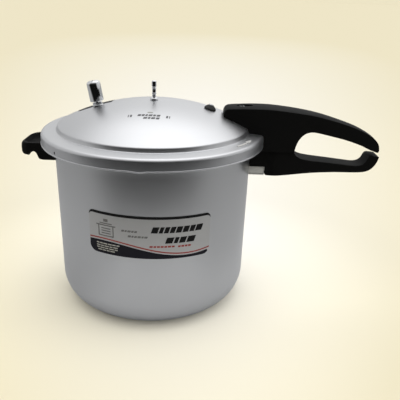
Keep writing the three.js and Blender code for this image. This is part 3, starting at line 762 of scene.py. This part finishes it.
# %% Vent pipe
pipe_line = eased([(0, -11), (3.4, -11), (3.4, 4.0), (2.3, 4.4), (2.3, 8), (4.2, 8.8), (4.2, 17.5),
                   (2.2, 20), (0, 20)], 0.3, 2)
pipe = spun(pipe_line, steps=48)
pipe_bore = spun([(0, -14), (1.2, -14), (1.2, 24), (0, 24)], steps=24)
flange = spun(closed_eased([(2.6, 0.9), (6.9, 0.9), (6.6, 1.7), (2.6, 1.9)], 0.3, 3), closed=True, steps=64)
vent_parts = merged([cut(pipe, pipe_bore), flange, hexagon(6.3, 1.5, 4.6)])
make_piece("vent_pipe_turned", placed(vent_parts, VENT), "lid", chrome, ["vent_pipe"])
washer_line = closed_eased([(3.6, -0.2), (5.2, -0.2), (5.2, 0.9), (3.6, 0.9)], 0.3, 2)
washer = spun(washer_line, closed=True, steps=48)
make_piece("vent_washer_soft", placed(washer, VENT), "lid", rubber, ["vent_washer"])

# %% [markdown]
# The pressure pin stands in a small hexagon bush at the top of the dome. Steam pushes it up a few
# millimetres. Its head and two collars are bright rings between darker necks.

# %% Pressure pin
PIN_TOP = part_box("indicator_pin")[1].z / MM
PIN_FOOT, SEAT_Z = 244.8, 260.3
SHAFT_R, NECK_R, COLLAR_R, HEAD_TURN = 1.4, 2.3, 2.75, 1.4
HEAD_R = HEAD_TURN + 1.45
collars = []
for collar_z in (265.0, 271.6):
    collars += [(NECK_R, collar_z - 0.9), (COLLAR_R, collar_z - 0.5), (COLLAR_R, collar_z + 0.5),
                (NECK_R, collar_z + 0.9)]
pin_line = [(0, PIN_FOOT), (SHAFT_R, PIN_FOOT), (SHAFT_R, SEAT_Z), (NECK_R, SEAT_Z)] + collars
pin_line += [(NECK_R, 273.0), (HEAD_R, 273.4), (HEAD_R, PIN_TOP - HEAD_TURN)]
pin_head = arc(HEAD_R - HEAD_TURN, PIN_TOP - HEAD_TURN, HEAD_TURN, 0, 90, 6)[1:] + [(0, PIN_TOP)]
make_piece("indicator_pin_turned", spun(eased(pin_line, 0.3, 3) + pin_head, steps=48), "indicator", chrome,
           ["indicator_pin"])

bush_line = eased([(1.75, 252.1), (3.2, 252.1), (3.2, 257.0), (4.9, 257.0), (4.9, 258.4), (4.3, 259.5),
                   (3.2, 260.1), (1.75, 260.0)], 0.3, 3)
bush_ring = spun(bush_line + [bush_line[0]], steps=64)
make_piece("indicator_bush_turned", bush_ring, "lid", chrome, ["indicator_bush"])

# %% [markdown]
# The safety plug is a black rubber button pushed through the lid, with a metal core that melts out if
# the pot boils dry.

# %% Safety plug
button_line = eased([(2.5, -6.5), (6.4, -5.5), (6.4, -3.4), (5.0, -3.0), (5.0, 0.3), (7.6, 0.3), (7.3, 2.0),
                     (5.4, 4.0), (4.0, 5.2), (2.5, 5.2)], 0.5, 3)
button = spun(button_line + [button_line[0]], steps=64)
make_piece("safety_plug_moulded", placed(button, PLUG), "lid", rubber, ["safety_plug"])
core_line = eased([(0, -6), (2.2, -6), (2.2, 5.4), (3.3, 5.4), (3.1, 6.3), (1.6, 6.8), (0, 6.8)], 0.3, 3)
make_piece("safety_plug_core_turned", placed(spun(core_line, steps=48), PLUG), "lid", turned_steel,
           ["safety_plug_core"])

# %% [markdown]
# ## Screws
# Each handle screw that is driven from below is a pan head with one slot, turned from steel. A slot cut
# into a spun head reads better than a drawn line. The one driven from above, in the oval recess, is
# chromed and has a cross.


# %% Handle screws
def slotted_screw(length):
    """A screw along +Z with its head at the bottom, slotted across."""
    line = eased([(0, 0), (3.2, 0), (4.4, 1.1), (4.4, 2.4), (2.1, 2.4), (2.1, length), (0, length)], 0.5, 3)
    return cut(spun(line, steps=48), box_tool((-0.6, -6, -1), (0.6, 6, 1.1)))


def screw_piece(name, node):
    """A slotted screw in the place and at the length of a screw in the frame."""
    low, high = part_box(node)
    foot = Vector(((low.x + high.x) / 2, (low.y + high.y) / 2, low.z))
    body = next(b for b, members in frame["record"]["behaviour"]["bodies"].items() if node in members)
    place = Matrix.Translation(foot) @ Matrix.Rotation(0.5, 4, "Z")
    screw = placed(slotted_screw((high.z - low.z) / MM), place)
    make_piece(name, screw, body, turned_steel, [node])


HEAD_AT = Vector((RECESS_X - 3.2, 0, RECESS_Z))
front_line = eased([(0, -12.5), (2.1, -12.5), (2.1, -0.6), (4.5, -0.1), (4.5, 0.9), (3.4, 1.7), (0, 1.9)],
                   0.5, 3)
front_screw = spun(front_line, steps=48)
cross_tools = [box_tool((-4, -0.6, 0.8), (4, 0.6, 3)), box_tool((-0.6, -4, 0.8), (0.6, 4, 3))]
front_place = Matrix.Translation(HEAD_AT * MM) @ Matrix.Rotation(0.4, 4, "Z")
make_piece("lid_handle_screw_front_crossed", placed(cut(front_screw, *cross_tools), front_place), "lid",
           chrome, ["lid_handle_screw_front"])
screw_piece("lid_handle_screw_rear_slotted", "lid_handle_screw_rear")
screw_piece("pot_handle_screw_slotted", "pot_handle_screw")
screw_piece("helper_screw_slotted", "helper_screw")

# %% [markdown]
# ## Printing
# The label is a thin foil wrapped on the pot, and its printing is thinner still. Every printed shape is
# drawn flat, as (across, up) in millimetres, given a little thickness, sliced so that it can bend, and
# then wrapped.


# %% Printing helpers
def flat_print(outlines, low, high, slice_mm=3.0, axes=(0,)):
    """Flat outlines given a thickness, sliced across X, and Y too if asked, so that they can bend."""
    bm = bmesh.new()
    for outline in outlines:
        face = bm.faces.new([bm.verts.new((u, v, low)) for u, v in outline])
        moved = bmesh.ops.extrude_face_region(bm, geom=[face])["geom"]
        raised = [g for g in moved if isinstance(g, bmesh.types.BMVert)]
        bmesh.ops.translate(bm, verts=raised, vec=(0, 0, high - low))
    for axis in axes:
        across = Vector((axis == 0, axis == 1, 0))
        edges = [v.co[axis] for v in bm.verts]
        for place in steps_between(min(edges), max(edges), slice_mm):
            bmesh.ops.bisect_plane(bm, geom=bm.verts[:] + bm.edges[:] + bm.faces[:],
                                   plane_co=across * place, plane_no=across, dist=1e-5)
    bmesh.ops.recalc_face_normals(bm, faces=bm.faces)
    return bm


LABEL_MIDDLE = 5.8
LABEL_LEAN = 0.017
INK_LOW, INK_HIGH = 0.36, 0.44


def on_pot(point):
    """Wraps a flat point on the front of the pot. The label was stuck on very slightly askew."""
    across, height, out = point
    z = height - LABEL_LEAN * (across - LABEL_MIDDLE)
    turn = across / POT_R
    r = pot_wall_r(z) + out
    return Vector((r * math.sin(turn), -r * math.cos(turn), z)) * MM


def on_lid(point):
    """Lays a flat point on the front slope of the dome."""
    x, y, out = point
    return Vector((x, y, dome_z(math.hypot(x, y)) + out)) * MM


def wrapped(name, bm, wrap, body, material, replaces=()):
    """Makes a flat print a piece, bent to its place."""
    for v in bm.verts:
        v.co = wrap(v.co)
    bmesh.ops.recalc_face_normals(bm, faces=bm.faces)
    return make_piece(name, bm, body, material, replaces)


def bars(row, spans, height, slant=0.0):
    """A row of plain bars: spans are (start, width) and row is the height of their foot."""
    top = row + height
    return [[(u, row), (u + w, row), (u + w + slant, top), (u + slant, top)] for u, w in spans]


def on_label(name, outlines, ink):
    """Prints outlines in one ink on the label."""
    wrapped(name, flat_print(outlines, INK_LOW, INK_HIGH), on_pot, "pot", ink)


# %% [markdown]
# The foil ground has small round corners above and larger ones below. A black border runs along the top
# and thins to nothing at the sides. The ink is a separate thin solid just over the foil, so that neither
# shows through the other.

# %% Label ground and border
LEFT, RIGHT, LOW, HIGH = -67.3, 78.9, 100.4, 151.9
TOP_R, FOOT_R = 6.0, 9.0
foot_left = arc(LEFT + FOOT_R, LOW + FOOT_R, FOOT_R, 180, 270, 8)
foot_right = arc(RIGHT - FOOT_R, LOW + FOOT_R, FOOT_R, 270, 360, 8)
top_right = arc(RIGHT - TOP_R, HIGH - TOP_R, TOP_R, 0, 90, 8)
top_left = arc(LEFT + TOP_R, HIGH - TOP_R, TOP_R, 90, 180, 8)
ground = foot_left + foot_right + top_right + top_left
wrapped("label_ground", flat_print([ground], 0.05, 0.35), on_pot, "pot", foil, ["pot_label"])

BORDER = 3.1


def border_end(cx, start, end):
    """The inner edge of the border round a top corner, thinning to nothing at the side."""
    wide, tall = TOP_R - 0.5, TOP_R - BORDER
    turns = [math.radians(start + (end - start) * i / 8) for i in range(9)]
    return [(cx + wide * math.cos(t), HIGH - TOP_R + tall * math.sin(t)) for t in turns]


border = top_right + top_left + border_end(LEFT + TOP_R, 180, 90) + border_end(RIGHT - TOP_R, 90, 0)
on_label("label_border", [border], black_ink)

# %% [markdown]
# A red line swings across the label, high at one end and low at the other, and a dark band fills the
# space under it. Both follow one formula, a half turn of a cosine, so that they stay parallel.


# %% Label line and band
WAVE_MIDDLE, WAVE_SWING, WAVE_START, WAVE_HALF = 112.8, 6.6, -48, 98
LINE_HALF, BAND_BELOW = 0.75, 2.5


def wave(u):
    """The long swing of the coloured line across the label."""
    return WAVE_MIDDLE + WAVE_SWING * math.cos(math.pi * (u - WAVE_START) / WAVE_HALF)


sweep_u = [LEFT + 0.3 + (RIGHT - LEFT - 0.6) * i / 48 for i in range(49)]
red_line = [(u, wave(u) - LINE_HALF) for u in sweep_u]
red_line += [(u, wave(u) + LINE_HALF) for u in reversed(sweep_u)]
on_label("label_line", [red_line], red_ink)
band_top = [(u, wave(u) - BAND_BELOW) for u in reversed(sweep_u)]
band = foot_left + arc(RIGHT - FOOT_R, LOW + FOOT_R, FOOT_R, 270, 318, 6) + band_top[1:]
on_label("label_band", [band], navy_ink)

# %% [markdown]
# From afar a line of text is a row of dark blocks of uneven width, so rows of plain bars keep the label's
# weight and rhythm without saying anything. Large slanted bars stand for a title, thin red and grey ones
# for its notes, and pale ones for the fine print on the band.


# %% Label bars in place of words
def word(row, start, widths, height, slant=0.0, gap=1.0):
    """A row of bars of given widths, with an even gap, as a line of text looks from afar."""
    spans = []
    for width in widths:
        spans.append((start, width))
        start += width + gap
    return bars(row, spans, height, slant)


title = word(132.4, 7.5, [7.4, 4.4, 5.2, 5.6, 6.6, 6.8, 6.0, 8.0], 7.4, 2.6, 1.3)
title += word(119.6, 23.5, [8.2, 4.6, 7.4, 9.4], 7.2, 2.6, 1.5)
on_label("label_title_bars", title, black_ink)
kind = word(114.6, 6.0, [3.6, 3.0, 3.2, 3.4, 3.0, 3.6, 3.2], 2.1, 0.3, 0.9)
kind += word(114.2, 38.5, [3.0, 3.4, 3.0, 3.2], 2.1, 0.3, 0.9)
on_label("label_kind_bars", kind, red_ink)
note = word(131.9, -26, [3.2, 2.4, 3.8, 2.6, 3.0], 2.3, 0.8, 0.7)
note += word(125.9, -18.5, [3.4, 2.4, 3.0, 3.8, 2.4, 3.6], 2.3, 0.8, 0.7)
on_label("label_note_bars", note, grey_ink)
small_rows = []
for row, start, widths, height in ((112.2, -57.5, [3.4, 3.6, 5.2, 4.6, 4.2, 3.6], 1.5),
                                   (109.3, -57.5, [4.8, 3.6, 5.6, 3.8, 5.6], 1.3),
                                   (106.6, -57.5, [3.6, 5.6, 4.2, 6.0, 3.8], 1.3),
                                   (104.0, -56, [5.6, 4.0, 3.8, 5.6], 1.2)):
    small_rows += word(row, start, widths, height, gap=0.9)
wrapped("label_data_bars", flat_print(small_rows, 0.45, 0.53), on_pot, "pot", white_ink)

# %% [markdown]
# The badge is a plain drawing of a lidded pot made of bars: a floor and two walls, a lid with a step and a
# knob, and three lines for what is in it.

# %% Label badge
badge = []
for row, spans, height in ((122.4, [(-54.5, 19.5)], 1.3), (122.4, [(-54.5, 1.3), (-36.3, 1.3)], 13),
                           (135.2, [(-57.0, 24.4)], 1.3), (137.6, [(-52.5, 15.5)], 1.2),
                           (140.2, [(-47.6, 5.6)], 3.4)):
    badge += bars(row, spans, height)
for row in (125.6, 128.6, 131.6):
    badge += bars(row, [(-50.4, 11.6)], 1.2)
on_label("label_badge", badge, grey_ink)

# %% [markdown]
# A small print near the top of the dome is kept as two rows of plain bars with a short mark at each side
# and one above. They are laid on the dome's own curve.

# %% Marks on the dome
dome_marks = word(-60.0, -13.5, [3.6, 3.2, 2.6, 4.2, 3.0, 3.8], 4.4, 0.8)
dome_marks += word(-66.6, -6.5, [4.2, 2.6, 4.4, 3.8], 4.2, 0.8)
side_marks = bars(-62.0, [(-24.2, 1.0), (-21.8, 2.2)], 5.4) + bars(-62.0, [(19.2, 2.2), (22.6, 1.0)], 5.4)
top_mark = bars(-52.0, [(-3.0, 6.0)], 3.0, 0.6)
for name, outlines, ink in (("dome_mark_bars", dome_marks, grey_ink),
                            ("dome_side_marks", side_marks, grey_ink),
                            ("dome_top_mark", top_mark, silicone)):
    wrapped(name, flat_print(outlines, 0.02, 0.1), on_lid, "lid", ink)

# %% [markdown]
# A black patch lies on the dome behind the vent, seen only as a thin dark strip on the dome's horizon. It is
# sliced both ways, because the dome bends both ways under it.

# %% Patch behind the vent
patch = closed_eased([(-98, 12), (-92, 1), (-78, 1), (-62, 7), (-54, 7), (-54, 37), (-98, 37)], 3.0, 4)
rear_patch_sheet = flat_print([patch], 0.02, 0.12, axes=(0, 1))
wrapped("dome_rear_patch", rear_patch_sheet, on_lid, "lid", black_ink)
patch_bars = word(28.0, -91, [8, 5, 8, 4], 3.0, 0, 1.6) + word(21.0, -89, [6, 9, 6], 3.0, 0, 1.6)
patch_bars_print = flat_print(patch_bars, 0.13, 0.2, axes=(0, 1))
wrapped("dome_rear_patch_bars", patch_bars_print, on_lid, "lid", grey_ink)

# %% [markdown]
# An arrow stands up from the shelf beside the handle, to show which way the lid turns. It is well under a
# millimetre high, but its edges catch the light.

# %% Turning arrow
ARROW_R = 127.6


def on_shelf(point):
    """Bends a flat point round the shelf: across is degrees, up is radius."""
    degrees, r, out = point
    turn = math.radians(degrees)
    return Vector((r * math.cos(turn), r * math.sin(turn), shelf_z(r) + out)) * MM


TAIL, NECK, TIP = -38, -27.5, -22.5
arrow_line = [(TAIL, ARROW_R - 1.0), (NECK, ARROW_R - 1.3), (NECK, ARROW_R - 3.2), (TIP, ARROW_R),
              (NECK, ARROW_R + 3.2), (NECK, ARROW_R + 1.3), (TAIL, ARROW_R + 1.0)]
arrow = flat_print([closed_eased(arrow_line, 0.5, 2)], 0.0, 0.7, 1.5)
wrapped("lid_turn_arrow", arrow, on_shelf, "lid", cast_aluminium)

# %% [markdown]
# ## Carried-over pieces
# The gasket, nuts, rivets, strap and boss keep their CAD shapes, because they are hidden or plain. They
# take the finish of what they are.

# %% Finishes for the CAD pieces
finishes = {"cast_aluminium": cast_aluminium, "steel": turned_steel, "silicone": silicone, "rubber": rubber,
            "chrome": chrome, "phenolic": phenolic, "spun_aluminium": pot_aluminium, "label_foil": foil}
for entry in frame["record"]["subparts"]:
    node = frame["nodes"][entry["node"]]
    node.data.materials.clear()
    node.data.materials.append(finishes[entry["material_slot"]])
    node.data.polygons.foreach_set("material_index", [0] * len(node.data.polygons))
print("finished", len(frame["nodes"]), "CAD pieces")

# %% [markdown]
# ## Studio
# The pot stands on a cream sweep, so wide that it fills the view, under a bright even sky with one large
# softbox in it, a little behind the pot. Metal shows what is around it. The softbox makes the white patch
# on the dome, the paper lifts the foot of the wall, and the dark side of the room, in front, gives the
# skirt and the top of the wall their deep tone.


# %% Helpers for light
def eased_step(tree, value, start, end, low=0.0, high=1.0):
    """A smooth step of a value, from low at start to high at end."""
    return add_node(tree, "ShaderNodeMapRange",
                    {"Value": value, "From Min": start, "From Max": end, "To Min": low, "To Max": high},
                    interpolation_type="SMOOTHSTEP").outputs["Result"]


# %% [markdown]
# The sweep is a flat disc of paper that turns up far away, so that no edge shows behind the pot.

# %% Sweep
sweep_line = [(0, 0), (600, 0), (3000, 0), (12000, 0), (26000, 0), (31000, 150), (34000, 900)]
floor_bm = spun(sweep_line, steps=64)
bmesh.ops.translate(floor_bm, verts=floor_bm.verts, vec=(0, 0, -0.0003))
if floor_bm.faces[0].normal.z < 0:
    bmesh.ops.reverse_faces(floor_bm, faces=floor_bm.faces)
floor_mesh = as_mesh("sweep", floor_bm)
sweep = show("sweep", floor_mesh)
print("sweep", sweep_line[-1][0] / 1000, "m in radius")

# %% [markdown]
# The paper carries a painted pool of light. It is lightest round the pot and goes a little deeper towards
# the corners, as paper does under a soft lamp. Close to the pot it is painted lighter still, over part of
# the pot's own shadow. The pool is a distance from its middle, squeezed so that it is long and narrow.

# %% Paper as it looks, with a painted pool of light
PAINTED_POOL_AT, PAPER_TONE, PAINTED_LIGHT_NEAR_POT = (0.06, 0.18, 0.0), 0.73, 1.3
paper, tree, shader, place = new_material("cream_paper")
set_shader(shader, Roughness=1.0, Specular_IOR_Level=0.0)
floor_mesh.materials.append(paper)
from_painted_pool = add_node(tree, "ShaderNodeVectorMath", {0: place, 1: PAINTED_POOL_AT}, operation="SUBTRACT").outputs[0]
at = add_node(tree, "ShaderNodeSeparateXYZ", {0: from_painted_pool})
widening = maths(tree, "MULTIPLY", maths(tree, "MAXIMUM", at.outputs["Y"], -0.42), 0.40)
painted_pool_width = maths(tree, "ADD", widening, 0.42)
across = maths(tree, "DIVIDE", at.outputs["X"], painted_pool_width)
forward = maths(tree, "MULTIPLY", at.outputs["Y"], -1.65)
back = maths(tree, "MULTIPLY", at.outputs["Y"], 0.20)
deep = maths(tree, "MAXIMUM", forward, back)
squeezed = add_node(tree, "ShaderNodeCombineXYZ", {0: across, 1: deep}).outputs[0]
out_from_painted_pool = add_node(tree, "ShaderNodeVectorMath", {0: squeezed}, operation="LENGTH").outputs["Value"]
# Painted pool of light: pale cream round the pot, deeper cream towards the corners.
tone = add_node(tree, "ShaderNodeValToRGB", {0: out_from_painted_pool})
ramp = tone.color_ramp
ramp.elements[0].color, ramp.elements[0].position = linear("#FDFAF1"), 0.15
ramp.elements[1].color, ramp.elements[1].position = linear("#EFE6C8"), 1.0
middle = ramp.elements.new(0.6)
middle.color = linear("#F6F0DC")
place_x, place_y, _ = add_node(tree, "ShaderNodeSeparateXYZ", {0: place}).outputs
place_r = add_node(tree, "ShaderNodeVectorMath", {0: place}, operation="LENGTH").outputs["Value"]
# Painted light: the paper is painted lighter close to the pot, over part of the pot's own shadow.
lift = eased_step(tree, place_r, 0.12, 0.42, PAPER_TONE * PAINTED_LIGHT_NEAR_POT, PAPER_TONE)
paper_with_painted_light = add_node(tree, "ShaderNodeVectorMath", {0: tone.outputs["Color"], "Scale": lift},
                       operation="SCALE")
print("paper tone", PAPER_TONE, "lifted to", round(PAPER_TONE * PAINTED_LIGHT_NEAR_POT, 2), "near the pot")

# %% [markdown]
# Metal sees a toned-down paper with painted shade, dark in front and darker to the sides, which stands for
# the dark studio round a close camera. This painted shade is the stage's own finish, and no piece of the pot
# has it.

# %% Paper as metal sees it, with painted shade
# Painted shade that only reflections see: dark in front, dimmer further off and towards the sides.
in_front = eased_step(tree, place_y, -0.63, -0.26, 0.015, 1.0)
far_off = eased_step(tree, place_r, 0.2, 0.7, 0.52, 0.39)
to_side = maths(tree, "ABSOLUTE", maths(tree, "SUBTRACT", place_x, 0.035))
at_side = eased_step(tree, to_side, 0.11, 0.26, 1.0, 0.74)
painted_reflection_shade = maths(tree, "MULTIPLY", maths(tree, "MULTIPLY", in_front, far_off), at_side)
by_metal = add_node(tree, "ShaderNodeLightPath").outputs["Is Glossy Ray"]
shown = add_node(tree, "ShaderNodeMix", data_type="RGBA")
colour_in = [socket for socket in shown.inputs if socket.type == "RGBA"]
tree.links.new(by_metal, shown.inputs[0])
tree.links.new(paper_with_painted_light.outputs[0], colour_in[0])
tree.links.new(painted_reflection_shade, colour_in[1])
tree.links.new(next(o for o in shown.outputs if o.type == "RGBA"), shader.inputs["Base Color"])
print("paper nodes:", len(tree.nodes))

# %% [markdown]
# The sky is drawn in the world's shader from the direction of each ray. Dividing a direction by its height
# gives a place on a flat ceiling, where the softbox is a soft-edged patch. Only metal and light see this
# room. The camera itself sees plain cream past the sweep.

# %% Sky
SKY, BACK_GLOW, SOFTBOX, DARK_SIDE = 0.67, 0.24, 1.0, 0.03
world = bpy.data.worlds.new("studio")
bpy.context.scene.world = world
world.use_nodes = True
tree = world.node_tree
tree.nodes.clear()
direction = add_node(tree, "ShaderNodeTexCoord").outputs["Generated"]
x, y, z = add_node(tree, "ShaderNodeSeparateXYZ", {0: direction}).outputs
height = maths(tree, "MAXIMUM", z, 0.001)
box_x = maths(tree, "ABSOLUTE", maths(tree, "SUBTRACT", maths(tree, "DIVIDE", x, height), 0.12))
box_y = maths(tree, "DIVIDE", y, height)
front_edge, back_edge = eased_step(tree, box_y, -0.35, -0.05), eased_step(tree, box_y, 1.55, 0.6)
box_depth = maths(tree, "MULTIPLY", front_edge, back_edge)
box = maths(tree, "MULTIPLY", eased_step(tree, box_x, 1.0, 0.3), box_depth)
dark = maths(tree, "MULTIPLY", eased_step(tree, y, -0.25, -0.65), eased_step(tree, z, 0.9, 0.5))
glow_side = eased_step(tree, x, -0.5, 0.05, 0.0, BACK_GLOW)
glow = maths(tree, "MULTIPLY", eased_step(tree, y, 0.0, 0.8), glow_side)
level = maths(tree, "ADD", maths(tree, "MULTIPLY", box, SOFTBOX), maths(tree, "ADD", glow, SKY))
shaded = add_node(tree, "ShaderNodeMix", {"Factor": dark, "A": level, "B": DARK_SIDE}, data_type="FLOAT")
room = add_node(tree, "ShaderNodeBackground", {"Color": linear("#FFFFFF"), "Strength": shaded.outputs[0]})
backdrop = add_node(tree, "ShaderNodeBackground", {"Color": linear("#F1E9CE"), "Strength": 1.0})
plain = add_node(tree, "ShaderNodeLightPath").outputs["Is Camera Ray"]
chosen = add_node(tree, "ShaderNodeMixShader", {0: plain, 1: room.outputs[0], 2: backdrop.outputs[0]})
add_node(tree, "ShaderNodeOutputWorld", {"Surface": chosen.outputs[0]})
print("sky", SKY, "softbox", SOFTBOX)

# %% [markdown]
# A small lamp above and behind gives the pot a little soft shadow, and a very wide one from the front
# stands for the white walls behind the camera. They light paper, ink and plastic, and the metal doesn't
# show them, because the sky above already has everything that the metal should show.

# %% Lamps
key = bpy.data.lights.new("key", "AREA")
key.shape, key.size, key.size_y, key.energy = "RECTANGLE", 0.5, 0.5, 1.2
lamp = show("key", key)
lamp.location = (0.12, 0.5, 1.1)
lamp.rotation_euler = (Vector((0, 0, 0.2)) - lamp.location).to_track_quat("-Z", "Y").to_euler()
lamp.visible_camera = False
lamp.visible_glossy = False

fill = bpy.data.lights.new("front_fill", "SUN")
fill.energy, fill.angle = 2.4, math.radians(120)
fill_lamp = show("front_fill", fill)
fill_lamp.rotation_euler = Vector((-0.3, 0.75, -0.6)).to_track_quat("-Z", "Y").to_euler()
fill_lamp.visible_glossy = False
print("lamps:", len(bpy.data.lights))
